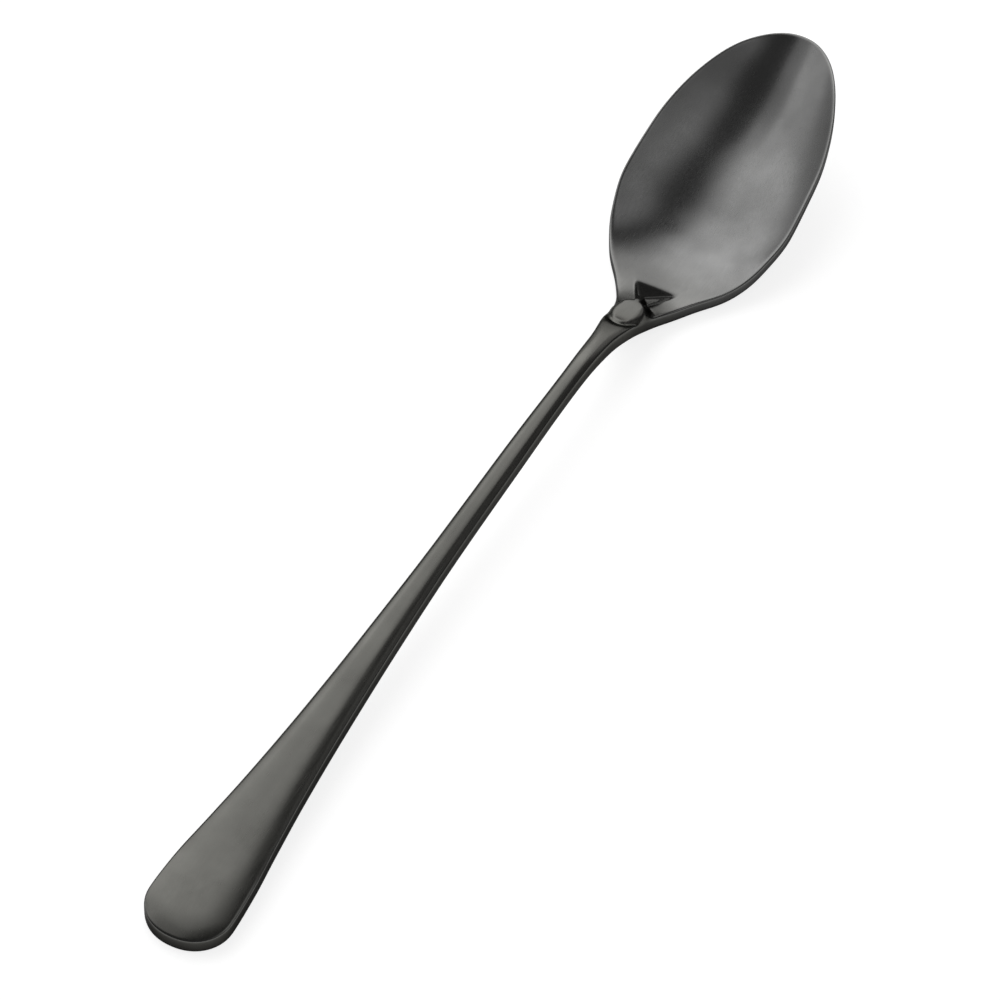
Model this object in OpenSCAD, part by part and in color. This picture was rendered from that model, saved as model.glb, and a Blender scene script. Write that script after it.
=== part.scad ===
// Iced tea spoon, one forged and coined piece with a rounded flat handle end,
// a slender stem, a padded neck and a long oval bowl.
// Millimetres. X runs along the spoon towards the bowl tip with x = 0 half way,
// Y is across, Z is up. The spoon lies on z = 0 on the lower edge of its handle
// end and on the belly of its bowl. The functions below measure x from the
// handle end, and the finished shape is moved to the middle at the very end.

/* [Overall] */
// whole length from handle end to bowl tip
overall_length = 195; // [180:0.5:215]
// length of the bowl from the heel to the tip
bowl_length = 57; // [48:0.5:64]
// widest width of the bowl over the rim
bowl_width = 29.4; // [24:0.2:34]
// widest width of the handle close to its end
handle_end_width = 13.4; // [10:0.1:17]
// narrowest width of the stem
stem_width = 3.48; // [2.6:0.1:5]

/* [Side profile] */
// height of the top edge at the highest place of the arch
arch_height = 8.5; // [6.5:0.1:11]
// height of the bowl rim at its lowest place, beside the heel
heel_height = 3.7; // [3.2:0.1:5]
// height of the bowl rim at the tip
tip_height = 15.47; // [11:0.1:18]

/* [Thickness] */
// thickness of the handle at its end
handle_end_thickness = 2.33; // [1.8:0.1:3.5]
// thickness in the middle of the stem
stem_thickness = 2.8; // [2.2:0.1:3.8]
// thickness in the middle of the neck
neck_thickness = 3.3; // [2.6:0.1:4.2]
// height of the side wall where the neck spreads into the bowl
heel_wall_height = 3.55; // [2:0.1:4]
// thickness of the metal in the floor of the bowl
bowl_floor_thickness = 1.65; // [1.1:0.05:2.2]
// thickness of the metal at the bowl rim
bowl_rim_thickness = 1.3; // [0.9:0.05:1.8]

/* [Faces and edges] */
// how far the middle of the handle face stands above its edges
handle_crown = 0.3; // [0.1:0.05:0.6]
// deepest dish of the bowl, measured straight down from the rim
bowl_depth = 7.4; // [6.6:0.1:7.8]
// height of the oval pad on the neck above the long edges beside it
pad_height = 0.4; // [0.2:0.05:0.8]
// depth of the groove round the pad
pad_groove = 0.3; // [0.1:0.05:0.5]
// width of the groove round the pad
groove_width = 0.85; // [0.6:0.05:1.2]
// rounding where the pad and the facet meet the metal round them
boss_corner = 0.16; // [0.08:0.02:0.3]
// rounding of the long edges near the handle end
end_edge_round = 0.35; // [0.15:0.05:0.6]
// rounding of the long edges along the stem and neck
stem_edge_round = 0.95; // [0.5:0.05:1.1]
// rounding of the long edges beside the neck pad
neck_edge_round = 0.45; // [0.3:0.05:0.8]
// rounding of the bowl rim
rim_round = 0.45; // [0.2:0.05:0.55]

/* [Shares] */
// stations along the handle, as shares of the handle length
handle_station_shares = [0.044, 0.087, 0.145, 0.217, 0.319, 0.435, 0.58, 0.725, 0.855, 0.925, 0.967];
// how far each handle station goes from the stem width (0) to the end width (1)
handle_flare_shares = [1.048, 0.989, 0.803, 0.589, 0.37, 0.196, 0.058, 0.013, -0.031, 0.037, 0.151];
// stations along the bowl, as shares of the bowl length
bowl_station_shares = [0, 0.035, 0.123, 0.21, 0.316, 0.44, 0.58, 0.72, 0.842, 1];
// width of the bowl at those stations before the tip is rounded, as shares of the bowl width
bowl_width_shares = [0.212, 0.256, 0.456, 0.702, 0.899, 1, 0.983, 0.914, 0.855, 0.757];
// length of the rounding of the handle end, as a share of the handle end width
end_round_share = 0.45; // [0.3:0.01:0.55]
// length of the rounding of the bowl tip, as a share of the bowl length
tip_round_share = 0.39; // [0.3:0.01:0.45]
// roundness of the handle end outline, two is an ellipse
end_power_share = 2.16; // [1.8:0.05:2.6]
// roundness of the bowl tip outline, two is an ellipse
tip_power_share = 2.12; // [1.8:0.05:2.6]
// stations of the side profile along the handle, as shares of the handle length
rise_station_shares = [0, 0.087, 0.18, 0.326, 0.507, 0.69, 0.81, 0.88, 0.93, 0.967];
// rise of the top edge at those stations, from the end height (0) to the arch height (1)
rise_shares = [0, 0.205, 0.317, 0.479, 0.713, 0.898, 0.975, 0.97, 0.849, 0.703];
// stations of the rim line along the bowl, as shares of the bowl length
rim_station_shares = [0, 0.1, 0.21, 0.35, 0.49, 0.63, 0.77, 0.91, 1];
// rise of the rim at those stations, from the heel height (0) to the tip height (1)
rim_rise_shares = [0.127, 0.013, -0.001, 0.165, 0.394, 0.61, 0.818, 0.97, 1.0];
// stations of the dish along the bowl, as shares of the bowl length
dish_station_shares = [0, 0.035, 0.07, 0.105, 0.16, 0.21, 0.28, 0.37, 0.47, 0.6, 0.72, 0.84, 0.92, 1];
// dish at those stations before the tip is closed, as shares of the bowl depth
dish_shares = [0.006, 0.018, 0.036, 0.065, 0.141, 0.211, 0.362, 0.572, 0.697, 0.769, 0.85, 0.93, 0.965, 0.993];
// how quickly the dish closes towards the tip
dish_tip_power_share = 1.6; // [1.2:0.05:2.2]
// fullness of the dish across the bowl
dish_power_share = 2.3; // [2:0.05:3]
// centre of the neck pad along the handle, as a share of the handle length
pad_station_share = 0.9906; // [0.98:0.002:0.996]
// length of the neck pad, as a share of the stem width
pad_length_share = 1.75; // [1.5:0.05:2]
// width of the neck pad, as a share of the stem width
pad_width_share = 1.32; // [1.1:0.02:1.5]
// how steeply the pad falls towards the bowl, as a share of its run
pad_fall_share = 0.15; // [0:0.01:0.25]
// where the facet starts in front of the pad's centre, as a share of half the pad length
facet_start_share = 1.05; // [0.95:0.01:1.2]
// how steeply the facet falls into the bowl, as a share of its run
facet_fall_share = 0.41; // [0.35:0.01:0.5]
// half width of the facet where it starts, as a share of half the pad width
facet_width_share = 0.43; // [0.25:0.02:0.6]
// how quickly the facet widens to each side, as a share of its run
facet_spread_share = 0.44; // [0.3:0.02:0.5]
// how steeply the sides of pad and facet fall, as a share of their run
boss_side_share = 1.5; // [1:0.05:2]

/* [Counts] */
// stations along the handle
handle_count = 38; // [30:2:60]
// stations through the neck and heel
neck_count = 56; // [30:2:70]
// stations along the bowl
bowl_count = 38; // [30:2:60]
// points across the upper face
across_count = 18; // [12:2:24]
// points round each long edge
edge_count = 5; // [3:1:8]

/* [Hidden] */
handle_length = overall_length - bowl_length;
end_height = handle_end_thickness;
end_round_length = handle_end_width * end_round_share;
tip_round_length = bowl_length * tip_round_share;
pad_x = handle_length * pad_station_share;
pad_half_length = stem_width * pad_length_share / 2;
pad_half_width = stem_width * pad_width_share / 2;
facet_x = pad_x + pad_half_length * facet_start_share;
groove_place = groove_width / 2;
neck_from = handle_length * 0.9;
neck_to = handle_length + bowl_length * 0.15;

// half widths before the ends are rounded, as [x, value]
width_table = concat(
    [[0, handle_end_width / 2]],
    [for (i = [0 : len(handle_station_shares) - 1])
        [handle_length * handle_station_shares[i],
            (stem_width + (handle_end_width - stem_width) * handle_flare_shares[i]) / 2]],
    [for (i = [0 : len(bowl_station_shares) - 1])
        [handle_length + bowl_length * bowl_station_shares[i],
            bowl_width * bowl_width_shares[i] / 2]]);

// height of the top edge, as [x, value]
edge_table = concat(
    [for (i = [0 : len(rise_station_shares) - 1])
        [handle_length * rise_station_shares[i],
            end_height + (arch_height - end_height) * rise_shares[i]]],
    [for (i = [0 : len(rim_station_shares) - 1])
        [handle_length + bowl_length * rim_station_shares[i],
            heel_height + (tip_height - heel_height) * rim_rise_shares[i]]]);

// depth of the middle below the edge, a crown counts as less than nothing
dish_table = concat(
    [[0, -handle_crown], [handle_length * 0.9, -handle_crown], [handle_length * 0.97, -handle_crown / 4]],
    [for (i = [0 : len(dish_station_shares) - 1])
        [handle_length + bowl_length * dish_station_shares[i], bowl_depth * dish_shares[i]]]);

// thickness in the middle of the section
middle_table = [
    [0, handle_end_thickness + handle_crown],
    [handle_length * 0.1, handle_end_thickness + handle_crown],
    [handle_length * 0.5, stem_thickness],
    [handle_length * 0.86, stem_thickness],
    [handle_length * 0.96, neck_thickness],
    [handle_length, neck_thickness],
    [handle_length + bowl_length * 0.11, (neck_thickness + bowl_floor_thickness) / 2],
    [handle_length + bowl_length * 0.22, bowl_floor_thickness],
    [overall_length, bowl_floor_thickness]];

// thickness of the section at its edge
edge_thickness_table = [
    [0, handle_end_thickness],
    [handle_length * 0.1, handle_end_thickness],
    [handle_length * 0.5, stem_thickness - handle_crown * 1.6],
    [handle_length * 0.86, stem_thickness - handle_crown * 1.8],
    [handle_length * 0.96, neck_thickness - handle_crown * 1.8],
    [handle_length, heel_wall_height],
    [handle_length + bowl_length * 0.12, (heel_wall_height * 3 + bowl_rim_thickness) / 4],
    [handle_length + bowl_length * 0.45, (heel_wall_height + bowl_rim_thickness * 3) / 4],
    [overall_length, bowl_rim_thickness]];

// rounding of the long edges
round_table = [
    [0, end_edge_round],
    [handle_length * 0.12, end_edge_round],
    [handle_length * 0.55, stem_edge_round * 0.7],
    [handle_length * 0.8, stem_edge_round],
    [handle_length * 0.9, stem_edge_round * 0.8],
    [handle_length * 0.965, neck_edge_round],
    [handle_length + bowl_length * 0.08, neck_edge_round],
    [handle_length + bowl_length * 0.25, rim_round],
    [overall_length, rim_round]];

// place of x in a table, as the index of the knot before it
function knot(t, x, lo, hi) =
    hi - lo <= 1 ? lo
    : let (m = floor((lo + hi) / 2)) t[m][0] <= x ? knot(t, x, m, hi) : knot(t, x, lo, m);

function slope(t, i) = (t[i + 1][1] - t[i][1]) / (t[i + 1][0] - t[i][0]);

// slope at a knot that never lets the curve overshoot
function knot_slope(t, i) =
    i == 0 ? slope(t, 0)
    : i == len(t) - 1 ? slope(t, i - 1)
    : let (a = slope(t, i - 1), b = slope(t, i)) a * b <= 0 ? 0 : 2 * a * b / (a + b);

// slopes of all knots of a table, worked out once
function knot_slopes(t) = [for (i = [0 : len(t) - 1]) knot_slope(t, i)];

// smooth value of a table at x
function smooth(t, s, x) =
    x <= t[0][0] ? t[0][1]
    : x >= t[len(t) - 1][0] ? t[len(t) - 1][1]
    : let (
        i = knot(t, x, 0, len(t) - 1),
        h = t[i + 1][0] - t[i][0],
        u = (x - t[i][0]) / h,
        v = 1 - u)
        t[i][1] * v * v * (1 + 2 * u) + t[i + 1][1] * u * u * (3 - 2 * u)
        + h * (s[i] * u * v * v - s[i + 1] * u * u * v);

width_slopes = knot_slopes(width_table);
edge_slopes = knot_slopes(edge_table);
dish_slopes = knot_slopes(dish_table);
middle_slopes = knot_slopes(middle_table);
edge_thickness_slopes = knot_slopes(edge_thickness_table);
round_slopes = knot_slopes(round_table);

// rounding of an end: 0 at the very end, 1 from the length of the rounding on
function cap(d, run, power) =
    d <= 0 ? 0 : d >= run ? 1 : pow(1 - pow(1 - d / run, power), 1 / power);

function tip_cap(x) = cap(overall_length - x, tip_round_length, tip_power_share);
function half_width(x) =
    smooth(width_table, width_slopes, x)
    * cap(x, end_round_length, end_power_share) * tip_cap(x);
function edge_height(x) = smooth(edge_table, edge_slopes, x);
function dish(x) =
    smooth(dish_table, dish_slopes, x) * pow(tip_cap(x), dish_tip_power_share);
function middle_thickness(x) = smooth(middle_table, middle_slopes, x);
function edge_thickness(x) = smooth(edge_thickness_table, edge_thickness_slopes, x);
function edge_round(x) = smooth(round_table, round_slopes, x);

// the larger of two heights, with the corner between them rounded
function soft_max(a, b, r) = (a + b + sqrt(pow(a - b, 2) + r * r)) / 2;

// distance outside the oval of the pad, less than nothing inside it
function oval_gap(x, y) =
    (norm([(x - pad_x) / pad_half_length, y / pad_half_width]) - 1) * pad_half_width;

// distance outside the facet that fans out from the front of the pad
function fan_gap(x, y) =
    max(
        abs(y) - pad_half_width * facet_width_share
            - facet_spread_share * max(0, x - pad_x - pad_half_length * 0.75),
        pad_x - x);

// 1 behind and beside the pad, 0 in front of it
function groove_share(x, y) =
    let (
        a = (x - pad_x) / pad_half_length,
        n = norm([a, y / pad_half_width]))
    n == 0 ? 0 : max(0, min(1, (0.9 - a / n) * 2));

// depth of the groove at a point
function groove_depth(x, y) =
    let (u = (oval_gap(x, y) - groove_place) / (groove_width / 2))
    pad_groove * groove_share(x, y) * exp(-u * u);

// height of the pad and the facet
pad_top = edge_height(pad_x) + pad_height;
facet_top = pad_top - (facet_x - pad_x) * pad_fall_share;
function boss_top(x) =
    -soft_max(
        -pad_top + (x - pad_x) * pad_fall_share,
        -facet_top + (x - facet_x) * facet_fall_share,
        boss_corner);

// a face height with groove, pad and facet worked into it
function with_boss(z, x, y) =
    x < neck_from || x > neck_to + bowl_length * 0.1 ? z
    : soft_max(
        z - groove_depth(x, y),
        boss_top(x) - boss_side_share
            * soft_max(min(oval_gap(x, y), fan_gap(x, y)), 0, boss_corner),
        boss_corner);

// heights of the upper and lower faces, v is 0 in the middle and 1 at the edge
function top_height(x, y, v) =
    with_boss(edge_height(x) - dish(x) * (1 - pow(v, dish_power_share)), x, y);

function under_height(x, v) =
    let (te = edge_thickness(x))
    edge_height(x) - te
    - (dish(x) + middle_thickness(x) - te) * (1 - pow(v, dish_power_share));

// stations: crowded at both ends and through the neck
end_gap = end_round_length / 250;
tip_gap = tip_round_length / 900;
stations = concat(
    [for (i = [0 : handle_count - 1])
        end_gap + (neck_from - end_gap) * (1 - cos(90 * i / handle_count))],
    [for (i = [0 : neck_count - 1]) neck_from + (neck_to - neck_from) * i / neck_count],
    [for (i = [0 : bowl_count])
        neck_to + (overall_length - tip_gap - neck_to) * sin(90 * i / bowl_count)]);

// outline point of a station pulled in along the outline's own normal by d
function outline_normal(x) =
    let (
        e = min(overall_length / 4000, x / 2, (overall_length - x) / 2),
        a = x - e,
        b = x + e,
        dx = b - a,
        dw = half_width(b) - half_width(a),
        n = sqrt(dx * dx + dw * dw))
    [-dw / n, dx / n];

function inset_point(x, d) =
    let (n = outline_normal(x)) [x - d * n[0], half_width(x) - d * n[1]];

// one closed section: over the upper face, round one edge, back below, round the other edge
function section(x) =
    let (
        r = min(edge_round(x), edge_thickness(x) * 0.48),
        p = inset_point(x, r),
        te = edge_thickness(x),
        q = inset_point(x, 0),
        zt = top_height(p[0], p[1], 1),
        zb = under_height(p[0], 1),
        side = [for (k = [1 : edge_count - 1])
            let (f = 180 * k / edge_count, s = sin(f))
            [p[0] + (q[0] - p[0]) * s, p[1] + (q[1] - p[1]) * s,
                (zt + zb) / 2 + (f < 90
                    ? (zt - zb) / 2 - r * (1 - cos(f))
                    : -(zt - zb) / 2 + r * (1 + cos(f)))]])
    concat(
        [for (i = [0 : across_count])
            let (v = 1 - 2 * i / across_count)
            [p[0], p[1] * v, top_height(p[0], p[1] * v, abs(v))]],
        [for (s = side) [s[0], -s[1], s[2]]],
        [for (i = [0 : across_count])
            let (v = 2 * i / across_count - 1) [p[0], p[1] * v, under_height(p[0], abs(v))]],
        [for (k = [len(side) - 1 : -1 : 0]) side[k]]);

sections = [for (x = stations) section(x)];
ring = len(sections[0]);
spoon_points = [for (s = sections) each s];

// closing faces of an end: the last upper row, the rounded wall and the last lower row
function turned(f, on) = on ? [for (i = [len(f) - 1 : -1 : 0]) f[i]] : f;
function end_faces(o, flip) = [for (f = concat(
    [concat([for (i = [0 : across_count]) o + i], [o + across_count + 1, o + ring - 1])],
    [for (k = [1 : edge_count - 2])
        [o + across_count + k, o + across_count + k + 1, o + ring - k - 1, o + ring - k]],
    [[for (i = [across_count + edge_count - 1 : 2 * across_count + edge_count + 1]) o + i]]))
    turned(f, flip)];

spoon_faces = concat(
    end_faces(0, false),
    [for (i = [0 : len(stations) - 2]) for (j = [0 : ring - 1])
        let (a = i * ring + j, b = i * ring + (j + 1) % ring)
        each [[a, a + ring, b + ring], [a, b + ring, b]]],
    end_faces((len(stations) - 1) * ring, true));

module spoon() {
    color([0.15, 0.15, 0.144])
        translate([-overall_length / 2, 0, 0])
            polyhedron(points = spoon_points, faces = spoon_faces, convexity = 6);
}

spoon();
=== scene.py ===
"""Iced tea spoon: one blank of steel, rolled, coined, polished satin and coated black-grey.

Sizes are millimetres inside the classes, and metres in Blender. Places along
the spoon count from the handle end, and the finished spoon is moved so that x
is 0 half way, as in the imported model.
"""

import logging
import math
from collections.abc import Callable
from dataclasses import dataclass, field
from enum import Enum
from typing import ClassVar

import bmesh
import bpy
import numpy as np
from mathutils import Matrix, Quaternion, Vector


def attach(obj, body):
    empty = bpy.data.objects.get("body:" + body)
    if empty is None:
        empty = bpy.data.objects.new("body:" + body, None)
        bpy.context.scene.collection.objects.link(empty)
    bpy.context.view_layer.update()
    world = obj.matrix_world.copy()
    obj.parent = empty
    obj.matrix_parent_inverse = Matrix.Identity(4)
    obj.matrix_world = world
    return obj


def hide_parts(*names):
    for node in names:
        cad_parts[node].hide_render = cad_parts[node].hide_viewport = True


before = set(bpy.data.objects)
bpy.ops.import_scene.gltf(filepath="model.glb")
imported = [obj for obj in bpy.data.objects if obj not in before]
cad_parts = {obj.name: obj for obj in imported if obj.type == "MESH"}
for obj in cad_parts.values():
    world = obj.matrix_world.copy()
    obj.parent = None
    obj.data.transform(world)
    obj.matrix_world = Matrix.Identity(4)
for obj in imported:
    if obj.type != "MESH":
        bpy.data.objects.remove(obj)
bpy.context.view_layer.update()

MM = 0.001
Colour = tuple[float, float, float]
log = logging.getLogger("iced_tea_spoon")


# Shared helpers


def placed(name: str, bm: bmesh.types.BMesh, mesh_name: str) -> bpy.types.Object:
    """Turns a finished bmesh into an object of the scene.

    Args:
        name: name of the object.
        bm: its mesh, which is freed.
        mesh_name: name of its mesh.

    Returns:
        The object.
    """
    mesh = bpy.data.meshes.new(mesh_name)
    bm.to_mesh(mesh)
    bm.free()
    made = bpy.data.objects.new(name, mesh)
    bpy.context.scene.collection.objects.link(made)
    return made


def looking(azimuth: float, elevation: float) -> Vector:
    """Unit vector that points out to an azimuth and an elevation, in degrees."""
    a, e = math.radians(azimuth), math.radians(elevation)
    return Vector((math.cos(a) * math.cos(e), math.sin(a) * math.cos(e), math.sin(e)))


class Operation(Enum):
    """What a Math node works out."""

    ADD = "ADD"
    SUBTRACT = "SUBTRACT"
    MULTIPLY = "MULTIPLY"
    POWER = "POWER"
    LARGER = "MAXIMUM"


def maths(
    tree: bpy.types.NodeTree,
    operation: Operation,
    first: bpy.types.NodeSocket,
    second: bpy.types.NodeSocket | float,
) -> bpy.types.NodeSocket:
    """Adds a Math node.

    Args:
        tree: the node tree to add it to.
        operation: what the node works out.
        first: its first input.
        second: its second input, another node's output or a number.

    Returns:
        The node's output.
    """
    node = tree.nodes.new("ShaderNodeMath")
    node.operation = operation.value
    tree.links.new(first, node.inputs[0])
    if isinstance(second, float):
        node.inputs[1].default_value = second
    else:
        tree.links.new(second, node.inputs[1])
    return node.outputs[0]


# Lines and plan


def bell(steps: np.ndarray) -> np.ndarray:
    """Weights of a bell curve that sum to one, for steps counted in its spread."""
    weight = np.exp(-0.5 * steps**2)
    return weight / weight.sum()


@dataclass(frozen=True)
class StationLine:
    """A fair line through stations along the spoon.

    The line passes through (place, value) pairs without overshoot and is then
    faired, so that no highlight breaks at a station.
    """

    stations: tuple[tuple[float, float], ...]
    fairing: float = 1.2

    STEP: ClassVar[float] = 0.1
    MARGIN: ClassVar[float] = 12.0
    FAIRING_REACH: ClassVar[int] = 4

    def _through(self, x: np.ndarray) -> np.ndarray:
        """Monotone cubic through the stations.

        Args:
            x: places along the spoon, mm.

        Returns:
            The value of the unfaired line at each place.
        """
        px = np.array([s[0] for s in self.stations])
        py = np.array([s[1] for s in self.stations])
        rise = np.diff(py) / np.diff(px)
        slope = np.empty_like(py)
        slope[0], slope[-1] = rise[0], rise[-1]
        a, b = rise[:-1], rise[1:]
        same = a * b > 0
        slope[1:-1] = np.where(same, 2 * a * b / np.where(same, a + b, 1.0), 0.0)
        c = np.clip(x, px[0], px[-1])
        i = np.clip(np.searchsorted(px, c, side="right") - 1, 0, len(px) - 2)
        h = px[i + 1] - px[i]
        u = (c - px[i]) / h
        v = 1 - u
        inside = (
            py[i] * v * v * (1 + 2 * u)
            + py[i + 1] * u * u * (3 - 2 * u)
            + h * (slope[i] * u * v * v - slope[i + 1] * u * u * v)
        )
        return inside + np.where(x < px[0], slope[0] * (x - px[0]), 0.0) + np.where(
            x > px[-1], slope[-1] * (x - px[-1]), 0.0
        )

    def table(self) -> tuple[np.ndarray, np.ndarray]:
        """The faired line, sampled finely.

        Returns:
            Places and values.
        """
        x = np.arange(
            self.stations[0][0] - self.MARGIN,
            self.stations[-1][0] + self.MARGIN,
            self.STEP,
        )
        y = self._through(x)
        if self.fairing > 0:
            reach = int(self.FAIRING_REACH * self.fairing / self.STEP)
            weight = bell(np.arange(-reach, reach + 1) * self.STEP / self.fairing)
            head = y[0] + (y[1] - y[0]) * np.arange(-reach, 0)
            tail = y[-1] + (y[-1] - y[-2]) * np.arange(1, reach + 1)
            y = np.convolve(np.concatenate([head, y, tail]), weight, mode="valid")
        return x, y

    def at(self, x: np.ndarray) -> np.ndarray:
        """Value of the faired line at each place x, mm."""
        px, py = self.table()
        return np.interp(x, px, py)


@dataclass(frozen=True)
class Plan:
    """Outline of the blank, seen from above.

    Places are shares of the handle's or of the bowl's length. The flare is 0 at
    the stem's width and 1 at the end's, and bowl_shares are shares of the bowl's
    width. Rounds are the lengths over which the two ends close.
    """

    length: float = 195.0
    bowl_length: float = 57.0
    bowl_width: float = 29.4
    end_width: float = 13.4
    stem_width: float = 3.48
    end_round: float = 6.03
    end_power: float = 2.16
    tip_round: float = 22.31
    tip_power: float = 2.13
    handle_places: tuple[float, ...] = (
        0.044, 0.087, 0.145, 0.217, 0.319, 0.435, 0.58, 0.725, 0.855, 0.925, 0.967,
    )
    handle_flare: tuple[float, ...] = (
        1.048, 0.989, 0.803, 0.589, 0.37, 0.196, 0.058, 0.013, -0.035, 0.012, 0.18,
    )
    bowl_places: tuple[float, ...] = (
        0, 0.035, 0.123, 0.21, 0.316, 0.44, 0.58, 0.72, 0.842, 1,
    )
    bowl_shares: tuple[float, ...] = (
        0.218, 0.258, 0.444, 0.703, 0.904, 1.005, 0.984, 0.917, 0.845, 0.746,
    )
    side_fairing: float = 0.9
    least_half_width: float = 0.2

    TURN_STEPS: ClassVar[int] = 400
    SIDE_STEPS: ClassVar[int] = 4000
    EVEN_STEPS: ClassVar[int] = 6000
    NORMAL_REACH: ClassVar[int] = 30
    NORMAL_SPREAD: ClassVar[float] = 9.0
    LEAST_STEP: ClassVar[float] = 1e-9

    @property
    def handle_length(self) -> float:
        """Length from the handle end to the heel of the bowl, mm."""
        return self.length - self.bowl_length

    def side_line(self) -> StationLine:
        """Half width along the spoon before its two ends are rounded.

        Returns:
            The line, in mm.
        """
        handle = [
            (
                self.handle_length * p,
                (self.stem_width + (self.end_width - self.stem_width) * f) / 2,
            )
            for p, f in zip(self.handle_places, self.handle_flare)
        ]
        bowl = [
            (self.handle_length + self.bowl_length * p, self.bowl_width * s / 2)
            for p, s in zip(self.bowl_places, self.bowl_shares)
        ]
        return StationLine(
            ((0.0, self.end_width / 2), *handle, *bowl), fairing=self.side_fairing
        )

    def full_width(self, x: np.ndarray) -> np.ndarray:
        """Half width before the ends are rounded, at each place x."""
        return self.side_line().at(x)

    def run_out(self, x: np.ndarray) -> tuple[np.ndarray, np.ndarray]:
        """How far each place is into the rounding of the handle end and of the tip.

        Args:
            x: places along the spoon, mm.

        Returns:
            Two shares, 0 where the rounding starts and 1 at the very end.
        """
        end = np.clip((self.end_round - x) / self.end_round, 0, 1)
        tip = np.clip((x - self.length + self.tip_round) / self.tip_round, 0, 1)
        return end, tip

    def half_width(self, x: np.ndarray) -> np.ndarray:
        """Half width of the finished outline.

        Args:
            x: places along the spoon, mm.

        Returns:
            The half width at each place, mm.
        """
        end, tip = self.run_out(x)
        cap = (1 - end**self.end_power) ** (1 / self.end_power)
        cap = cap * (1 - tip**self.tip_power) ** (1 / self.tip_power)
        return self.full_width(x) * cap

    def reach(self, x: np.ndarray, y: np.ndarray, shrink: float = 0.0) -> np.ndarray:
        """How far out a point lies, 0 on the centre line and 1 on the outline.

        Args:
            x: places along the spoon, mm.
            y: places across it, mm.
            shrink: distance by which the outline is pulled in first, mm.

        Returns:
            The share for each point, which may pass 1 outside the outline.
        """
        end, tip = self.run_out(x)
        end = end * self.end_round / (self.end_round - shrink)
        tip = tip * self.tip_round / (self.tip_round - shrink)
        side = np.abs(y) / np.maximum(self.full_width(x) - shrink, self.least_half_width)
        near_end = (side**self.end_power + end**self.end_power) ** (1 / self.end_power)
        near_tip = (side**self.tip_power + tip**self.tip_power) ** (1 / self.tip_power)
        return np.where(x < self.length / 2, near_end, near_tip)

    def outline(self) -> tuple[np.ndarray, np.ndarray, np.ndarray]:
        """Left half of the outline from the handle end's middle to the tip.

        Returns:
            Run along the outline, points and outward normals.
        """
        turn = np.linspace(0, math.pi / 2, self.TURN_STEPS)
        end = self.end_round * (1 - np.cos(turn))
        side = np.linspace(self.end_round, self.length - self.tip_round, self.SIDE_STEPS)[1:-1]
        tip = self.length - self.tip_round * (1 - np.cos(turn[::-1]))
        x = np.concatenate([end, side, tip])
        y = self.half_width(x)
        y[0] = y[-1] = 0.0
        run = np.concatenate([[0], np.cumsum(np.hypot(np.diff(x), np.diff(y)))])
        even = np.linspace(0, run[-1], self.EVEN_STEPS + 1)
        px, py = np.interp(even, run, x), np.interp(even, run, y)
        reach = self.NORMAL_REACH
        mx = np.concatenate([px[reach:0:-1], px, px[-2 : -2 - reach : -1]])
        my = np.concatenate([-py[reach:0:-1], py, -py[-2 : -2 - reach : -1]])
        weight = bell(np.arange(-reach, reach + 1) / self.NORMAL_SPREAD)
        dx = np.gradient(np.convolve(mx, weight, mode="valid"))
        dy = np.gradient(np.convolve(my, weight, mode="valid"))
        dy[0] = abs(dy[0]) + self.LEAST_STEP
        dx[0] = dx[-1] = 0.0
        n = np.hypot(dx, dy)
        return even, np.stack([px, py], 1), np.stack([-dy / n, dx / n], 1)


# Dies


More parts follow.
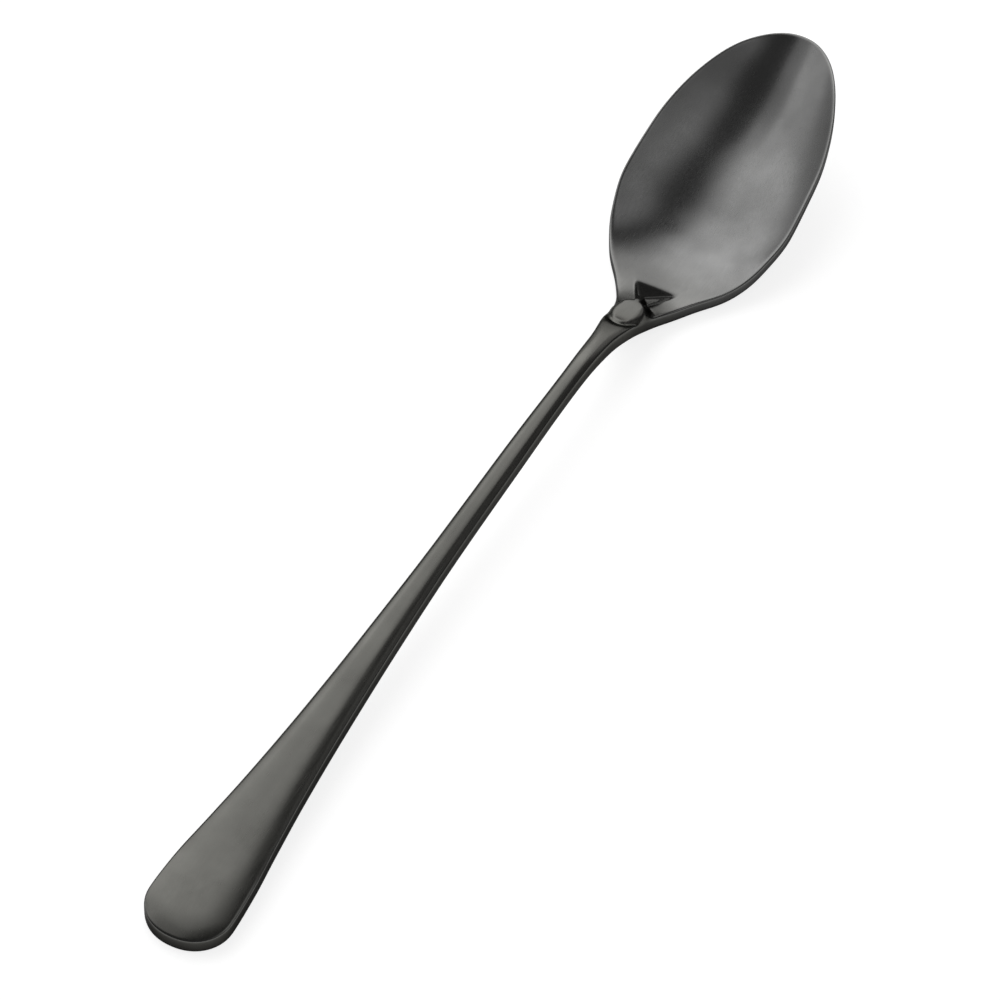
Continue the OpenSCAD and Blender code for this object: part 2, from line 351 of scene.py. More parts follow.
@dataclass(frozen=True)
class SideDie:
    """Side view: the height of the long edges and the thickness of the metal.

    Places are shares of the handle's or of the bowl's length, rise is a share of
    the arch and rim a share of the way from the heel up to the tip.
    """

    plan: Plan = field(default_factory=Plan)
    end_thickness: float = 2.33
    arch: float = 8.5
    heel: float = 4.2
    tip: float = 14.63
    rise_places: tuple[float, ...] = (
        0, 0.087, 0.18, 0.326, 0.507, 0.69, 0.81, 0.88, 0.93, 0.967,
    )
    rise: tuple[float, ...] = (
        0, 0.205, 0.317, 0.479, 0.713, 0.898, 0.975, 0.97, 0.861, 0.701,
    )
    rim_places: tuple[float, ...] = (0, 0.1, 0.21, 0.35, 0.49, 0.63, 0.77, 0.91, 1)
    rim: tuple[float, ...] = (
        0.005, -0.147, -0.137, 0.103, 0.394, 0.645, 0.895, 1.069, 1.076,
    )
    stem_thickness: float = 2.8
    neck_thickness: float = 2.95
    heel_wall: float = 2.4
    floor_thickness: float = 1.65
    rim_thickness: float = 1.3
    end_flat: float = 0.1
    end_crown: float = 0.3
    mid_place: float = 0.5
    stem_place: float = 0.86
    neck_place: float = 0.96
    wall_places: tuple[float, float] = (0.12, 0.45)
    floor_places: tuple[float, float] = (0.11, 0.22)
    mid_bevel: float = 0.48
    stem_bevel: float = 0.54
    neck_bevel: float = 0.35
    rounding: tuple[tuple[float, float], ...] = (
        (0, 0.16), (16, 0.16), (76, 0.30), (110, 0.38), (132, 0.38), (143, 0.24),
        (152, 0.17), (195, 0.16),
    )
    edge_fairing: float = 1.6
    thickness_fairing: float = 2.0

    def edge(self, x: np.ndarray) -> np.ndarray:
        """Height of the top edge.

        Args:
            x: places along the spoon, mm.

        Returns:
            The height above the table at each place, mm.
        """
        hl, bl = self.plan.handle_length, self.plan.bowl_length
        handle = [
            (hl * p, self.end_thickness + (self.arch - self.end_thickness) * r)
            for p, r in zip(self.rise_places, self.rise)
        ]
        bowl = [
            (hl + bl * p, self.heel + (self.tip - self.heel) * r)
            for p, r in zip(self.rim_places, self.rim)
        ]
        return StationLine((*handle, *bowl), fairing=self.edge_fairing).at(x)

    def wall(self, x: np.ndarray) -> np.ndarray:
        """Height of the side wall.

        Args:
            x: places along the spoon, mm.

        Returns:
            The wall's height at each place, mm.
        """
        hl, bl = self.plan.handle_length, self.plan.bowl_length
        first, second = self.wall_places
        return StationLine(
            (
                (0, self.end_thickness),
                (hl * self.end_flat, self.end_thickness),
                (hl * self.mid_place, self.stem_thickness - self.mid_bevel),
                (hl * self.stem_place, self.stem_thickness - self.stem_bevel),
                (hl * self.neck_place, self.neck_thickness - self.neck_bevel),
                (hl, self.heel_wall),
                (hl + bl * first, (self.heel_wall * 3 + self.rim_thickness) / 4),
                (hl + bl * second, (self.heel_wall + self.rim_thickness * 3) / 4),
                (hl + bl, self.rim_thickness),
            ),
            fairing=self.thickness_fairing,
        ).at(x)

    def middle(self, x: np.ndarray) -> np.ndarray:
        """Thickness of the metal in the middle of the section.

        Args:
            x: places along the spoon, mm.

        Returns:
            The thickness at each place, mm.
        """
        hl, bl = self.plan.handle_length, self.plan.bowl_length
        first, second = self.floor_places
        return StationLine(
            (
                (0, self.end_thickness + self.end_crown),
                (hl * self.end_flat, self.end_thickness + self.end_crown),
                (hl * self.mid_place, self.stem_thickness),
                (hl * self.stem_place, self.stem_thickness),
                (hl * self.neck_place, self.neck_thickness),
                (hl, self.neck_thickness),
                (hl + bl * first, (self.neck_thickness + self.floor_thickness) / 2),
                (hl + bl * second, self.floor_thickness),
                (hl + bl, self.floor_thickness),
            ),
            fairing=self.thickness_fairing,
        ).at(x)

    def edge_round(self, x: np.ndarray) -> np.ndarray:
        """Rounding of the long edges at each place x."""
        return StationLine(self.rounding, fairing=self.thickness_fairing).at(x)


@dataclass(frozen=True)
class HandleFace:
    """Crown of the handle's upper face, flatter in the middle of the wide end."""

    plan: Plan = field(default_factory=Plan)
    crown: tuple[tuple[float, float], ...] = (
        (0, 0.55), (30, 0.6), (70, 0.46), (110, 0.36), (126, 0.33), (134, 0.16),
        (140, 0.3), (146, 0.0), (150, 0.0),
    )
    fullness: tuple[tuple[float, float], ...] = (
        (0, 3.2), (30, 3.0), (70, 2.5), (110, 2.3), (142, 2.1),
    )

    def lift(self, x: np.ndarray, y: np.ndarray) -> np.ndarray:
        """How far the face stands above the edge.

        Args:
            x: places along the spoon, mm.
            y: places across it, mm.

        Returns:
            The crown at each point, mm.
        """
        out = np.clip(self.plan.reach(x, y), 0, 1)
        power = StationLine(self.fullness).at(x)
        return StationLine(self.crown).at(x) * (1 - out**power)


@dataclass(frozen=True)
class BowlDie:
    """Hollow of the bowl below its rim."""

    plan: Plan = field(default_factory=Plan)
    land: float = 0.3
    depth: tuple[tuple[float, float], ...] = (
        (142, 0.0), (144.5, 0.1), (147.5, 0.45), (150.5, 1.0), (154, 2.05), (158, 3.49),
        (164, 4.51), (171, 4.77), (178, 5.44), (186, 6.11), (195, 6.28),
    )
    fullness: float = 2.0

    def drop(self, x: np.ndarray, y: np.ndarray) -> np.ndarray:
        """How far the hollow lies below the rim at each point."""
        out = np.clip(self.plan.reach(x, y, self.land), 0, 1)
        return np.maximum(StationLine(self.depth).at(x), 0) * (1 - out**self.fullness)


def soft_max(a: np.ndarray, b: np.ndarray, radius: float) -> np.ndarray:
    """The larger of two heights, with the corner between them rounded."""
    return (a + b + np.sqrt((a - b) ** 2 + radius**2)) / 2


@dataclass(frozen=True)
class NeckBoss:
    """Raised oval pad on the neck and the steep facet that falls from it into the bowl.

    Falls are slopes, in mm down for each mm along the spoon or across it. The
    fan is the facet's outline, which widens by fan_spread on each side.
    """

    pad_centre: float = 136.7
    pad_half_length: float = 3.05
    pad_half_width: float = 2.3
    pad_height: float = 6.02
    pad_fall: float = 0.12
    facet_start: float = 140.0
    facet_fall: float = 0.52
    fan_start: float = 141.3
    fan_half_width: float = 0.55
    fan_spread: float = 0.64
    pad_side_fall: float = 1.6
    facet_side_fall: float = 3.0
    corner: float = 0.13
    groove: float = 0.38
    groove_place: float = 0.4
    groove_step: float = 0.4
    groove_width: float = 0.45
    groove_end: float = 0.97
    groove_fade: float = 4.0
    fan_root: float = 1.0
    fan_back: float = 3.0

    LEAST_OUT: ClassVar[float] = 1e-6

    def oval(self, x: np.ndarray, y: np.ndarray) -> tuple[np.ndarray, np.ndarray]:
        """Where points lie, seen from the pad.

        Args:
            x: places along the spoon, mm.
            y: places across it, mm.

        Returns:
            Distance outside the pad's oval in mm, and how far each point lies
            towards the bowl, 0 beside or behind the pad and 1 straight ahead.
        """
        along, across = (x - self.pad_centre) / self.pad_half_length, y / self.pad_half_width
        out = np.hypot(along, across)
        front = np.clip(along / np.maximum(out, self.LEAST_OUT), 0, 1)
        return (out - 1) * self.pad_half_width, front

    def top(self, x: np.ndarray) -> np.ndarray:
        """Height of the pad and of the facet.

        Args:
            x: places along the spoon, mm.

        Returns:
            The height at each place, mm.
        """
        pad = self.pad_height - self.pad_fall * (x - self.pad_centre)
        start = self.pad_height - self.pad_fall * (self.facet_start - self.pad_centre)
        facet = start - self.facet_fall * (x - self.facet_start)
        return -soft_max(-pad, -facet, self.corner)

    def raise_on(self, z: np.ndarray, x: np.ndarray, y: np.ndarray) -> np.ndarray:
        """Sets the pad and the facet on the neck.

        Args:
            z: height of the plain face.
            x: places along the spoon, mm.
            y: places across it, mm.

        Returns:
            The height with groove, pad and facet.
        """
        oval, front = self.oval(x, y)
        half = self.fan_half_width + self.fan_spread * np.maximum(x - self.fan_start, 0)
        behind = self.pad_centre + self.fan_root - x
        fan = np.maximum(np.abs(y) - half, self.fan_back * behind)
        by_pad = self.pad_side_fall * soft_max(oval, np.zeros_like(x), self.corner)
        by_fan = self.facet_side_fall * soft_max(fan, np.zeros_like(x), self.corner)
        place = self.groove_place + self.groove_step * front
        ring = np.exp(-(((oval - place) / self.groove_width) ** 2))
        plain = z - self.groove * ring * np.clip(
            (self.groove_end - front) * self.groove_fade, 0, 1
        )
        return soft_max(plain, self.top(x) - np.minimum(by_pad, by_fan), self.corner)


@dataclass(frozen=True)
class SpoonForm:
    """Upper and lower face of the whole spoon."""

    plan: Plan = field(default_factory=Plan)
    side: SideDie = field(default_factory=SideDie)
    handle: HandleFace = field(default_factory=HandleFace)
    bowl: BowlDie = field(default_factory=BowlDie)
    boss: NeckBoss = field(default_factory=NeckBoss)

    def upper(self, x: np.ndarray, y: np.ndarray) -> np.ndarray:
        """Height of the upper face at each point."""
        z = self.side.edge(x) + self.handle.lift(x, y) - self.bowl.drop(x, y)
        return self.boss.raise_on(z, x, y)

    def lower(self, x: np.ndarray, y: np.ndarray) -> np.ndarray:
        """Height of the lower face.

        Args:
            x: places along the spoon, mm.
            y: places across it, mm.

        Returns:
            The height at each point, mm.
        """
        out = np.clip(self.plan.reach(x, y), 0, 1)
        wall = self.side.wall(x)
        crown = StationLine(self.handle.crown).at(x)
        hollow = np.maximum(StationLine(self.bowl.depth).at(x), 0) - crown
        deep = hollow + self.side.middle(x) - wall
        return self.side.edge(x) - wall - deep * (1 - out**self.bowl.fullness)


# Finishes


class Run(Enum):
    """Way in which a pattern is drawn out over the steel, as scale along x, y and z."""

    ALONG = (0.035, 1.0, 1.0)
    EVEN = (1.0, 1.0, 1.0)


@dataclass(frozen=True)
class Pattern:
    """One layer of noise on the steel, with its grain in millimetres."""

    grain: float
    run: Run = Run.EVEN
    detail: float = 3.0
    roughness: float = 0.55

    def place(
        self, tree: bpy.types.NodeTree, coordinates: bpy.types.NodeSocket
    ) -> bpy.types.NodeSocket:
        """Adds the layer to a material.

        Args:
            tree: the material's node tree.
            coordinates: the object coordinates.

        Returns:
            The noise, about 0.5 in the middle.
        """
        mapping = tree.nodes.new("ShaderNodeMapping")
        mapping.inputs["Scale"].default_value = self.run.value
        tree.links.new(coordinates, mapping.inputs["Vector"])
        noise = tree.nodes.new("ShaderNodeTexNoise")
        noise.inputs["Scale"].default_value = 1.0 / (self.grain * MM)
        noise.inputs["Detail"].default_value = self.detail
        noise.inputs["Roughness"].default_value = self.roughness
        tree.links.new(mapping.outputs["Vector"], noise.inputs["Vector"])
        return noise.outputs["Fac"]


@dataclass(frozen=True)
class BlackSteel:
    """Black-grey coat on satin polished steel.

    The coat is warmer and darker on the handle than in the bowl and clouded
    where it lies thicker, the satin polish runs along the spoon and is cloudy
    too, and the crisp edges are rubbed a little brighter by use, where the
    attribute edge_wear is high. Depths are mm, and warm_from and warm_to are
    places along the spoon in metres.
    """

    coat: Colour = (0.131, 0.131, 0.130)
    warm_coat: Colour = (0.080, 0.0793, 0.0734)
    cloud_gain: float = 0.13
    rubbed: Colour = (0.142, 0.142, 0.139)
    edge_tint: float = 0.45
    satin: float = 0.24
    satin_swing: float = 0.07
    rubbed_satin: float = 0.19
    warm_from: float = 0.058
    warm_to: float = 0.037
    clouds: Pattern = Pattern(14.0, Run.EVEN, 4.0, 0.6)
    polish: Pattern = Pattern(0.22, Run.ALONG, 3.0, 0.6)
    orange_peel: Pattern = Pattern(1.6, Run.EVEN, 2.0, 0.5)
    brush_depth: float = 0.0006
    peel_depth: float = 0.0022
    noise_ends: tuple[float, float] = (0.3, 0.7)
    rub_ends: tuple[float, float] = (0.35, 0.65)
    rub_least: float = 0.35

    MIX_SHARE: ClassVar[int] = 0
    MIX_COLOURS: ClassVar[tuple[int, int]] = (6, 7)
    MIX_RESULT: ClassVar[int] = 2

    @staticmethod
    def _ramp(
        tree: bpy.types.NodeTree,
        value: bpy.types.NodeSocket,
        start: tuple[float, float],
        end: tuple[float, float],
    ) -> bpy.types.NodeSocket:
        """Adds a Map Range node.

        Args:
            tree: the material's node tree.
            value: what is mapped.
            start: lowest and highest value that comes in.
            end: what they become.

        Returns:
            The mapped value.
        """
        node = tree.nodes.new("ShaderNodeMapRange")
        tree.links.new(value, node.inputs["Value"])
        for name, number in zip(("From Min", "From Max", "To Min", "To Max"), (*start, *end)):
            node.inputs[name].default_value = number
        return node.outputs["Result"]

    def _blend(
        self,
        tree: bpy.types.NodeTree,
        share: bpy.types.NodeSocket,
        first: Colour | bpy.types.NodeSocket,
        second: Colour | bpy.types.NodeSocket,
    ) -> bpy.types.NodeSocket:
        """Mixes two colours.

        Args:
            tree: the material's node tree.
            share: share of the second colour.
            first: the first colour.
            second: the second colour.

        Returns:
            The mixed colour.
        """
        node = tree.nodes.new("ShaderNodeMix")
        node.data_type = "RGBA"
        tree.links.new(share, node.inputs[self.MIX_SHARE])
        for number, colour in zip(self.MIX_COLOURS, (first, second)):
            if isinstance(colour, tuple):
                node.inputs[number].default_value = (*colour, 1)
            else:
                tree.links.new(colour, node.inputs[number])
        return node.outputs[self.MIX_RESULT]

    @staticmethod
    def _bump(
        tree: bpy.types.NodeTree,
        height: bpy.types.NodeSocket,
        depth: float,
        under: bpy.types.NodeSocket | None = None,
    ) -> bpy.types.NodeSocket:
        """Adds a bump.

        Args:
            tree: the material's node tree.
            height: the noise that makes it.
            depth: its depth, mm.
            under: the normal that it is laid on.

        Returns:
            The bumped normal.
        """
        node = tree.nodes.new("ShaderNodeBump")
        node.inputs["Strength"].default_value = 1.0
        node.inputs["Distance"].default_value = depth * MM
        tree.links.new(height, node.inputs["Height"])
        if under is not None:
            tree.links.new(under, node.inputs["Normal"])
        return node.outputs["Normal"]

    def material(self) -> bpy.types.Material:
        """Builds the node material.

        Returns:
            The material.
        """
        mat = bpy.data.materials.new("black_steel_satin")
        mat.use_nodes = True
        tree = mat.node_tree
        bsdf = tree.nodes["Principled BSDF"]
        place = tree.nodes.new("ShaderNodeTexCoord").outputs["Object"]
        split = tree.nodes.new("ShaderNodeSeparateXYZ")
        tree.links.new(place, split.inputs[0])
        clouds = self.clouds.place(tree, place)
        polish = self.polish.place(tree, place)
        peel = self.orange_peel.place(tree, place)

        cloudy = self._ramp(tree, clouds, self.noise_ends, (0.0, 1.0))
        cool, warmed = (
            self._blend(
                tree,
                cloudy,
                tuple(c / (1 + self.cloud_gain) for c in colour),
                tuple(c * (1 + self.cloud_gain) for c in colour),
            )
            for colour in (self.coat, self.warm_coat)
        )
        warm = self._ramp(tree, split.outputs["X"], (self.warm_to, self.warm_from), (1.0, 0.0))
        coat = self._blend(tree, warm, cool, warmed)

        marked = tree.nodes.new("ShaderNodeAttribute")
        marked.attribute_name = "edge_wear"
        patchy = self._ramp(tree, polish, self.rub_ends, (self.rub_least, 1.0))
        wear = maths(tree, Operation.MULTIPLY, marked.outputs["Fac"], patchy)
        tree.links.new(self._blend(tree, wear, coat, self.rubbed), bsdf.inputs["Base Color"])

        swing = self.satin_swing / 2
        cloud_satin = self._ramp(
            tree, clouds, self.noise_ends, (self.satin + swing, self.satin - swing)
        )
        lines = self._ramp(tree, polish, self.noise_ends, (-swing, swing))
        satin = maths(tree, Operation.ADD, cloud_satin, lines)
        rub = self._ramp(tree, wear, (0.0, 1.0), (0.0, self.satin - self.rubbed_satin))
        tree.links.new(maths(tree, Operation.SUBTRACT, satin, rub), bsdf.inputs["Roughness"])

        brushed = self._bump(tree, polish, self.brush_depth)
        tree.links.new(self._bump(tree, peel, self.peel_depth, brushed), bsdf.inputs["Normal"])
        bsdf.inputs["Metallic"].default_value = 1.0
        bsdf.inputs["Specular Tint"].default_value = (self.edge_tint,) * 3 + (1,)
        return mat


# The spoon


@dataclass
class Spoon:
    """The spoon itself, pressed from a gridded blank.

    Each face is a grid of along by across fields, whose corners lie end_corner
    and tip_corner from the middle of the two ends, and whose stations stand
    closer where spacing is small. Its border starts edge_inset inside the
    outline, and rows of the edge's section, the rings, join the two faces.
    """

    form: SpoonForm = field(default_factory=SpoonForm)
    finish: BlackSteel = field(default_factory=BlackSteel)
    along: int = 330
    across: int = 40
    end_corner: float = 4.6
    tip_corner: float = 8.5
    rings: int = 20
    wear_from: float = 1.2
    wear_span: float = 3.0
    edge_inset: float = 1.7
    edge_share: float = 0.55
    bend_weight: float = 0.22
    end_blend: float = 5.0
    tip_blend: float = 9.0
    blend_power: float = 1.5
    spacing: tuple[tuple[float, float], ...] = (
        (0, 0.5), (8, 0.9), (20, 1.4), (108, 1.4), (126, 0.36), (131, 0.22), (146, 0.22),
        (152, 0.42), (165, 0.55), (188, 0.5), (195, 0.4),
    )

    run: np.ndarray = field(init=False, repr=False)
    points: np.ndarray = field(init=False, repr=False)
    normals: np.ndarray = field(init=False, repr=False)

    FACE_STEPS: ClassVar[int] = 24
    WALL_STEPS: ClassVar[int] = 20
    SECTION_STEPS: ClassVar[int] = 140
    ROUNDING_PASSES: ClassVar[int] = 120
    STRONGEST_PASS: ClassVar[float] = 0.95
    WELD: ClassVar[float] = 2e-6

    def __post_init__(self) -> None:
        """Works out the outline once."""
        self.run, self.points, self.normals = self.form.plan.outline()

    def _seat_runs(self) -> np.ndarray:
        """Places the stations of the grid's long sides on the left outline.

        Returns:
            Run along the outline up to each station, mm.
        """
        line = StationLine(self.spacing, fairing=0)
        mid = (self.run > self.end_corner) & (self.run < self.run[-1] - self.tip_corner)
        run = self.run[mid]
        count = np.concatenate([[0], np.cumsum(np.diff(run) / line.at(self.points[mid, 0])[1:])])
        return np.interp(np.linspace(0, count[-1], self.along + 1), count, run)

    def _seats(self) -> tuple[np.ndarray, np.ndarray]:
        """Outline points and normals in order round the grid.

        Returns:
            Points and normals: right side, tip, left side, handle end.
        """
        side = self._seat_runs()
        total = self.run[-1]
        share = np.linspace(-1, 1, self.across + 1)
        tip = share * self.tip_corner
        end = share * self.end_corner
        runs = np.concatenate(
            [side[:-1], total - np.abs(tip[:-1]), side[::-1][:-1], np.abs(end[::-1][:-1])]
        )
        sign = np.concatenate(
            [
                -np.ones(self.along),
                np.sign(tip[:-1]),
                np.ones(self.along),
                np.sign(end[::-1][:-1]),
            ]
        )
        px = np.interp(runs, self.run, self.points[:, 0])
        py = np.interp(runs, self.run, self.points[:, 1]) * sign
        nx = np.interp(runs, self.run, self.normals[:, 0])
        ny = np.interp(runs, self.run, self.normals[:, 1]) * sign
        n = np.hypot(nx, ny)
        return np.stack([px, py], 1), np.stack([nx / n, ny / n], 1)

    @staticmethod
    def _along_rows(places: np.ndarray, run: np.ndarray, values: np.ndarray) -> np.ndarray:
        """Values at new places, row by row."""
        return np.stack([np.interp(*row) for row in zip(places, run, values)])

    def _edge_sections(self) -> np.ndarray:
        """Rounded section of the edge at every seat, from the upper to the lower face.

        Returns:
            Array of seats by rings by x, y and z.
        """
        p, n = self._seats()
        inset = np.minimum(
            self.edge_inset, self.edge_share * self.form.plan.full_width(p[:, 0])
        )
        off = inset[:, None] * np.linspace(1, 0, self.FACE_STEPS)[None, :]
        qx, qy = p[:, 0, None] - n[:, 0, None] * off, p[:, 1, None] - n[:, 1, None] * off
        up = self.form.upper(qx, qy)
        low = self.form.lower(qx, qy)
        down = np.linspace(0, 1, self.WALL_STEPS)[1:-1]
        wall = up[:, -1:] + (low[:, -1:] - up[:, -1:]) * down[None, :]
        o = np.concatenate([off, np.zeros_like(wall), off[:, ::-1]], 1)
        z = np.concatenate([up, wall, low[:, ::-1]], 1)
        step = np.hypot(np.diff(o, axis=1), np.diff(z, axis=1))
        arc = np.concatenate([np.zeros((len(p), 1)), np.cumsum(step, 1)], 1)
        even = np.linspace(0, 1, self.SECTION_STEPS)[None, :] * arc[:, -1:]
        eo, ez = self._along_rows(even, arc, o), self._along_rows(even, arc, z)
        pitch = arc[:, -1] / (self.SECTION_STEPS - 1)
        want = self.form.side.edge_round(p[:, 0])
        weight = np.clip(
            (want / pitch) ** 2 / self.ROUNDING_PASSES, 0, self.STRONGEST_PASS
        )[:, None]
        for _ in range(self.ROUNDING_PASSES):
            for row in (eo, ez):
                row[:, 1:-1] += weight * 0.5 * (row[:, :-2] - 2 * row[:, 1:-1] + row[:, 2:])
        heading = np.unwrap(np.arctan2(np.diff(ez, axis=1), np.diff(eo, axis=1)), axis=1)
        bend = np.pad(np.abs(np.diff(heading, axis=1)), ((0, 0), (1, 0)))
        load = np.cumsum(pitch[:, None] + self.bend_weight * bend, 1)
        load = np.concatenate([np.zeros((len(p), 1)), load], 1)
        pick = np.linspace(0, 1, self.rings)[None, :] * load[:, -1:]
        ro, rz = self._along_rows(pick, load, eo), self._along_rows(pick, load, ez)
        x = p[:, 0, None] - n[:, 0, None] * ro
        y = p[:, 1, None] - n[:, 1, None] * ro
        return np.stack([x, y, rz], 2)

    def _grid_places(self, border: np.ndarray) -> np.ndarray:
        """Places of the inner grid, whose border is the innermost ring.

        Args:
            border: x and y of the innermost ring, in seat order.

        Returns:
            Array of stations along by stations across by x and y.
        """
        na, nc = self.along, self.across
        right = border[: na + 1]
        tip = border[na : na + nc + 1]
        left = border[na + nc : 2 * na + nc + 1][::-1]
        end = np.concatenate([border[2 * na + nc :], border[:1]])[::-1]
        t = np.linspace(0, 1, nc + 1)[None, :, None]
        grid = right[:, None, :] * (1 - t) + left[:, None, :] * t
        chord_end = right[:1, None, :] * (1 - t) + left[:1, None, :] * t
        chord_tip = right[-1:, None, :] * (1 - t) + left[-1:, None, :] * t
        away_end = np.hypot(*(right - right[0]).T)[:, None, None]
        away_tip = np.hypot(*(right - right[-1]).T)[:, None, None]
        by_end = np.exp(-((away_end / self.end_blend) ** self.blend_power))
        by_tip = np.exp(-((away_tip / self.tip_blend) ** self.blend_power))
        return grid + by_end * (end[None] - chord_end) + by_tip * (tip[None] - chord_tip)

    def _mark_wear(self, bm: bmesh.types.BMesh) -> None:
        """Marks how sharply each point stands out, in the attribute edge_wear.

        Args:
            bm: the finished spoon, with its normals right.
        """
        wear = bm.verts.layers.float.new("edge_wear")
        bm.normal_update()
        for v in bm.verts:
            bend = 0.0
            for e in v.link_edges:
                other = e.other_vert(v)
                way = other.co - v.co
                bend = max(bend, (other.normal - v.normal).dot(way) / way.length_squared)
            v[wear] = min(max((bend * MM - self.wear_from) / self.wear_span, 0.0), 1.0)

    def _lay(
        self,
        verts: list[bmesh.types.BMVert],
        seat: bmesh.types.BMLayerItem,
        grid: np.ndarray,
        height: Callable[[np.ndarray, np.ndarray], np.ndarray],
    ) -> None:
        """Moves one layer of the blank onto a face of the spoon.

        Args:
            verts: the layer's points.
            seat: layer that numbers them.
            grid: places of the grid.
            height: height of the face at each place.
        """
        z = height(grid[..., 0], grid[..., 1])
        for v in verts:
            i, j = divmod(v[seat], self.across + 1)
            x, y = grid[i, j]
            v.co = self._metres(x, y, z[i, j])

    def _metres(self, x: float, y: float, z: float) -> Vector:
        """A point in metres, with x counted from half way along the spoon."""
        return Vector(((x - self.form.plan.length / 2) * MM, y * MM, z * MM))

    def _number_border(
        self, verts: list[bmesh.types.BMVert], seat: bmesh.types.BMLayerItem
    ) -> None:
        """Numbers the grid's border in seat order.

        Args:
            verts: the upper layer's points.
            seat: layer that numbers them.
        """
        na, nc = self.along, self.across
        for v in verts:
            i, j = divmod(v[seat], nc + 1)
            if j == 0 and i < na:
                v[seat] = i
            elif i == na and j < nc:
                v[seat] = na + j
            elif j == nc and i > 0:
                v[seat] = na + nc + (na - i)
            elif i == 0 and j > 0:
                v[seat] = 2 * na + nc + (nc - j)

    def press(self) -> bmesh.types.BMesh:
        """Presses a gridded blank into the spoon.

        Returns:
            The finished mesh.
        """
        na, nc = self.along, self.across
        sections = self._edge_sections()
        bm = bmesh.new()
        seat = bm.verts.layers.int.new("seat")
        upper = bmesh.ops.create_grid(bm, x_segments=na, y_segments=nc, size=1.0)["verts"]
        for v in upper:
            i, j = round((v.co.x + 1) / 2 * na), round((v.co.y + 1) / 2 * nc)
            v[seat] = i * (nc + 1) + j
        copy = bmesh.ops.duplicate(bm, geom=bm.faces[:] + bm.edges[:] + bm.verts[:])["geom"]
        lower = [g for g in copy if isinstance(g, bmesh.types.BMVert)]
        faces = [g for g in copy if isinstance(g, bmesh.types.BMFace)]
        bmesh.ops.reverse_faces(bm, faces=faces)
        self._lay(lower, seat, self._grid_places(sections[:, -1, :2]), self.form.lower)
        self._lay(upper, seat, self._grid_places(sections[:, 0, :2]), self.form.upper)
        self._number_border(upper, seat)

        top = set(upper)
        loop = [e for e in bm.edges if e.is_boundary and e.verts[0] in top]
        for ring in range(1, self.rings):
            out = bmesh.ops.extrude_edge_only(bm, edges=loop)["geom"]
            for v in (g for g in out if isinstance(g, bmesh.types.BMVert)):
                v.co = self._metres(*sections[v[seat], ring])
            loop = [g for g in out if isinstance(g, bmesh.types.BMEdge)]
        bmesh.ops.remove_doubles(bm, verts=bm.verts[:], dist=self.WELD)
        bmesh.ops.recalc_face_normals(bm, faces=bm.faces[:])
        for f in bm.faces:
            f.smooth = True
        self._mark_wear(bm)
        return bm

    def dress(self, spoon: bpy.types.Object) -> None:
        """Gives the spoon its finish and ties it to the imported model.

        Args:
            spoon: the spoon's object.
        """
        spoon.data.materials.append(self.finish.material())
        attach(spoon, "root")
        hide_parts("spoon")

    def build(self) -> bpy.types.Object:
        """Makes the spoon and dresses it.

        Returns:
            The finished object.
        """
        spoon = placed("iced_tea_spoon", self.press(), "spoon_black_steel")
        self.dress(spoon)
        return spoon


# Studio


@dataclass(frozen=True)
class PhotoCamera:
    """Camera at the photograph's angle.

    The heading is that of its view, counted from +x, and the focal length and
    the centre are those solved for the photo, in its pixels.
    """

    elevation: float = 47.814
    heading: float = 28.8547
    roll: float = 0.3117
    distance: float = 0.98792
    target: tuple[float, float, float] = (0.0, 0.0, 0.005)
    focal_pixels: float = 6571.2
    centre: tuple[float, float] = (503.618, 479.717)
    picture: float = 1000.0
    sensor: float = 36.0
    clip: tuple[float, float] = (0.05, 20.0)

    def place(self) -> bpy.types.Object:
        """Sets the camera up.

        Returns:
            The camera.
        """
        way = looking(self.heading, -self.elevation)
        data = bpy.data.cameras.new("photo_camera")
        data.sensor_width = self.sensor
        data.lens = self.focal_pixels * self.sensor / self.picture
        data.shift_x = (self.picture / 2 - self.centre[0]) / self.picture
        data.shift_y = (self.centre[1] - self.picture / 2) / self.picture
        data.clip_start, data.clip_end = self.clip
        cam = bpy.data.objects.new("photo_camera", data)
        cam.location = Vector(self.target) - way * self.distance
        turn = Quaternion((0, 0, 1), math.radians(self.roll))
        cam.rotation_euler = (way.to_track_quat("-Z", "Y") @ turn).to_euler()
        bpy.context.scene.collection.objects.link(cam)
        bpy.context.scene.camera = cam
        return cam


@dataclass(frozen=True)
class Softbox:
    """One flat lamp that faces the spoon, sizes in metres and angles in degrees."""

    name: str
    azimuth: float
    elevation: float
    width: float
    height: float
    radiance: float
    distance: float = 1.6

    def place(self) -> bpy.types.Object:
        """Hangs the lamp up.

        Returns:
            The lamp.
        """
        out = looking(self.azimuth, self.elevation)
        data = bpy.data.lights.new(self.name, "AREA")
        data.shape = "RECTANGLE"
        data.size = self.width
        data.size_y = self.height
        data.energy = self.radiance * math.pi * self.width * self.height
        lamp = bpy.data.objects.new(self.name, data)
        lamp.location = out * self.distance
        lamp.rotation_euler = (-out).to_track_quat("-Z", "Y").to_euler()
        bpy.context.scene.collection.objects.link(lamp)
        return lamp


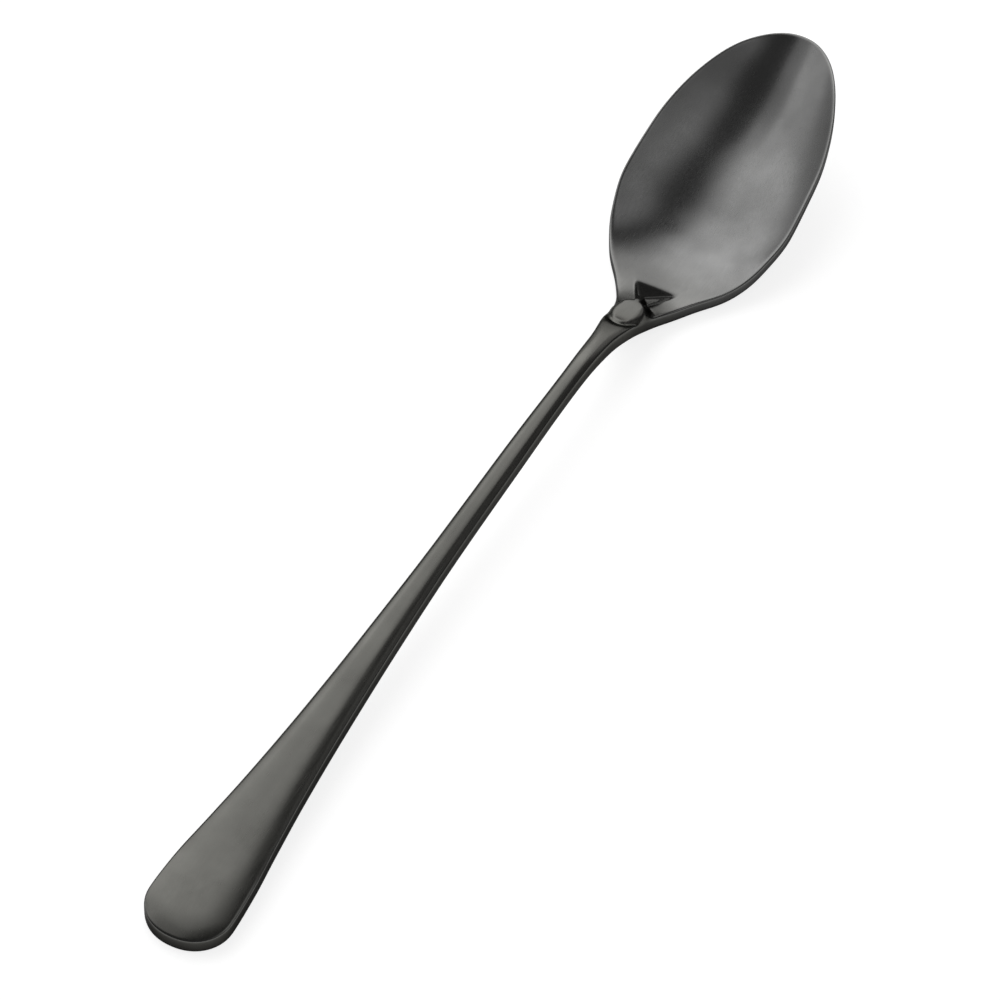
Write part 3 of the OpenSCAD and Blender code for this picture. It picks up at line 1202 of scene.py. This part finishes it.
@dataclass(frozen=True)
class Studio:
    """White table, soft boxes and a dim room."""

    table_half: float = 1.5
    table_roughness: float = 0.9
    table_colour: Colour = (0.42, 0.42, 0.42)
    table_lift: float = 0.81
    shade_reach: float = 0.03
    shade_samples: int = 8
    shade_power: float = 4.5
    room: float = 0.125
    boxes: tuple[Softbox, ...] = (
        Softbox("window_box", 48.2, 44.9, 1.32, 1.20, 1.06),
        Softbox("tall_box", 85.0, 35.2, 1.42, 2.84, 0.67),
        Softbox("strip_box", 36.6, 39.9, 4.00, 0.76, 0.65),
        Softbox("front_box", 30.3, 29.2, 1.06, 0.88, 0.98),
        Softbox("back_box", 271.7, 42.5, 1.66, 1.12, 0.33),
        Softbox("side_box", 290.7, 56.1, 0.96, 0.96, 0.28),
        Softbox("roof_box", 306.0, 63.5, 0.88, 0.26, 0.60),
        Softbox("high_box", 48.0, 66.5, 0.66, 0.76, 0.62),
        Softbox("fill_box", 16.0, 51.0, 0.50, 0.50, 0.35),
        Softbox("tip_box", 99.0, 47.0, 0.40, 0.54, 0.90),
    )

    def table(self) -> bpy.types.Object:
        """Lays the white table.

        The light that it adds for the camera keeps the lamps' shadow faint, and
        the part of it that the steel reflects darkens close under the spoon.

        Returns:
            The table.
        """
        bm = bmesh.new()
        bmesh.ops.create_grid(bm, x_segments=1, y_segments=1, size=self.table_half)
        floor = placed("studio_floor", bm, "studio_floor")
        mat = bpy.data.materials.new("white_table")
        mat.use_nodes = True
        tree = mat.node_tree
        bsdf = tree.nodes["Principled BSDF"]
        bsdf.inputs["Base Color"].default_value = (*self.table_colour, 1)
        bsdf.inputs["Roughness"].default_value = self.table_roughness
        bsdf.inputs["Specular IOR Level"].default_value = 0.0
        path = tree.nodes.new("ShaderNodeLightPath")
        shade = tree.nodes.new("ShaderNodeAmbientOcclusion")
        shade.samples = self.shade_samples
        shade.inputs["Distance"].default_value = self.shade_reach
        deep = maths(tree, Operation.POWER, shade.outputs["AO"], self.shade_power)
        mirror = maths(
            tree,
            Operation.LARGER,
            path.outputs["Is Glossy Ray"],
            path.outputs["Is Transmission Ray"],
        )
        below = maths(tree, Operation.MULTIPLY, mirror, deep)
        seen = maths(tree, Operation.LARGER, path.outputs["Is Camera Ray"], below)
        lift = maths(tree, Operation.MULTIPLY, seen, self.table_lift)
        bsdf.inputs["Emission Color"].default_value = (1, 1, 1, 1)
        tree.links.new(lift, bsdf.inputs["Emission Strength"])
        floor.data.materials.append(mat)
        return floor

    def build(self) -> None:
        """Puts up the table, the lamps and the room."""
        self.table()
        for box in self.boxes:
            box.place()
        world = bpy.data.worlds.new("studio_world")
        bpy.context.scene.world = world
        world.use_nodes = True
        back = world.node_tree.nodes["Background"]
        back.inputs["Color"].default_value = (1, 1, 1, 1)
        back.inputs["Strength"].default_value = self.room
        bpy.context.scene.view_settings.view_transform = "Standard"


def write_sizes() -> None:
    """Defines a helper that gives the corners of a box as lists, and writes nothing.
    """

    def plain(b: object) -> list:
        """The corners of a box as lists."""
        return [[float(v) for v in corner] for corner in b]


def main() -> None:
    """Builds the spoon and its studio."""
    logging.basicConfig(level=logging.INFO)
    PhotoCamera().place()
    Studio().build()
    spoon = Spoon().build()
    log.info("spoon: %d faces", len(spoon.data.polygons))
    write_sizes()


if __name__ == "__main__":
    main()
